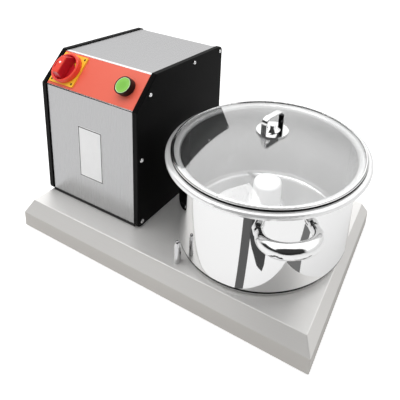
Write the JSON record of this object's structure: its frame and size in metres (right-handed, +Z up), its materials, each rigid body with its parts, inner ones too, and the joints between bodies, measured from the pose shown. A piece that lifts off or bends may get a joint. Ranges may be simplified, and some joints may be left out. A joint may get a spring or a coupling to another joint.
{
  "type": "electric onion chopper",
  "caption": "Belt-driven onion chopper: a steel tray carries a motor housing with sloped controls beside a lidded steel pot whose curved blades turn on a central hub.",
  "frame": {"origin": "on the surface that the feet stand on, under the middle of the whole footprint", "axes": "+Z up, +X from the motor housing to the pot, -Y towards the control side"},
  "size_m": [0.5968, 0.3808, 0.3355],
  "materials": {
    "tray_steel": "satin stainless sheet",
    "housing_steel": "satin stainless sheet",
    "panel_black": "black plastic plate, bevelled edge",
    "screw_steel": "bright stainless screw",
    "foot_rubber": "black rubber",
    "overlay_red": "orange-red overlay",
    "plate_yellow": "yellow plastic",
    "knob_red": "red plastic",
    "control_black": "black plastic",
    "button_green": "green plastic with a pale rim",
    "pot_steel": "polished stainless steel",
    "lid_glass": "clear toughened glass",
    "seal_rubber": "black rubber",
    "hub_white": "white food-safe plastic",
    "blade_steel": "ground stainless steel",
    "drive_steel": "turned steel",
    "cast_grey": "painted casting",
    "pulley_aluminium": "turned aluminium",
    "belt_rubber": "black rubber belt",
    "inner_plastic": "dark grey plastic"
  },
  "bodies": {
    "base": {"base_tray": "tray_steel", "bottom_cover": "housing_steel", "foot_1": "foot_rubber", "foot_2": "foot_rubber", "foot_3": "foot_rubber", "foot_4": "foot_rubber", "front_guide_pin": "drive_steel", "rear_guide_pin": "drive_steel", "left_side_panel": "panel_black", "right_side_panel": "panel_black", "front_sheet": "housing_steel", "cover_sheet": "housing_steel", "control_overlay": "overlay_red", "isolator_plate": "plate_yellow", "isolator_switch": "control_black", "button_collar": "control_black", "button_contact": "inner_plastic", "cable_gland": "control_black", "contactor": "inner_plastic", "run_capacitor": "pulley_aluminium", "motor_lower_shield": "cast_grey", "motor_casing": "cast_grey", "motor_upper_shield": "cast_grey", "fan_cover": "housing_steel", "drive_belt": "belt_rubber", "bearing_housing": "pulley_aluminium", "lower_bearing": "drive_steel", "upper_bearing": "drive_steel", "shaft_seal": "seal_rubber", "left_panel_screw_1": "screw_steel", "left_panel_screw_2": "screw_steel", "left_panel_screw_3": "screw_steel", "left_panel_screw_4": "screw_steel", "left_panel_screw_5": "screw_steel", "right_panel_screw_1": "screw_steel", "right_panel_screw_2": "screw_steel", "right_panel_screw_3": "screw_steel", "right_panel_screw_4": "screw_steel", "right_panel_screw_5": "screw_steel"},
    "isolator": {"isolator_knob": "knob_red", "isolator_shaft": "drive_steel"},
    "button": {"start_button": "button_green"},
    "motor_rotor": {"motor_shaft": "drive_steel", "motor_fan": "inner_plastic", "motor_pulley": "pulley_aluminium"},
    "spindle": {"drive_shaft": "drive_steel", "drive_pulley": "pulley_aluminium"},
    "pot": {"pot": "pot_steel", "front_handle": "pot_steel", "rear_handle": "pot_steel"},
    "lid": {"lid_glass": "lid_glass", "lid_rim": "pot_steel", "lid_seal": "seal_rubber", "lid_saucer": "pot_steel", "lid_handle": "pot_steel", "lid_bolt": "pot_steel"},
    "blades": {"blade_hub": "hub_white", "drive_insert": "drive_steel", "lower_blade": "blade_steel", "upper_blade": "blade_steel"}
  },
  "joints": [
    {"name": "isolator_turn", "type": "hinge", "parent": "base", "child": "isolator", "pos_m": [-0.24865, -0.0986, 0.30612], "axis": [0, 0.7571, -0.6533], "range_deg": [0, 90]},
    {"name": "start_push", "type": "slide", "parent": "base", "child": "button", "axis": [0, 0.7571, -0.6533], "range_m": [0, 0.003], "stiffness_N_per_m": 700, "springref_m": -0.002},
    {"name": "motor_spin", "type": "hinge", "parent": "base", "child": "motor_rotor", "pos_m": [-0.18015, 0, 0.0552], "axis": [0, 0, 1], "continuous": true},
    {"name": "shaft_spin", "type": "hinge", "parent": "base", "child": "spindle", "pos_m": [0.1194, 0, 0.0552], "axis": [0, 0, 1], "continuous": true},
    {"name": "pot_lift", "type": "slide", "parent": "base", "child": "pot", "axis": [0, 0, 1], "range_m": [0, 0.12]},
    {"name": "blade_spin", "type": "hinge", "parent": "pot", "child": "blades", "pos_m": [0.1194, 0, 0.0552], "axis": [0, 0, 1], "continuous": true},
    {"name": "lid_lift", "type": "slide", "parent": "pot", "child": "lid", "axis": [0, 0, 1], "range_m": [0, 0.1]}
  ],
  "couplings": [
    {"joint": "shaft_spin", "follows": "motor_spin", "ratio": 0.64583},
    {"joint": "blade_spin", "follows": "motor_spin", "ratio": 0.64583}
  ]
}
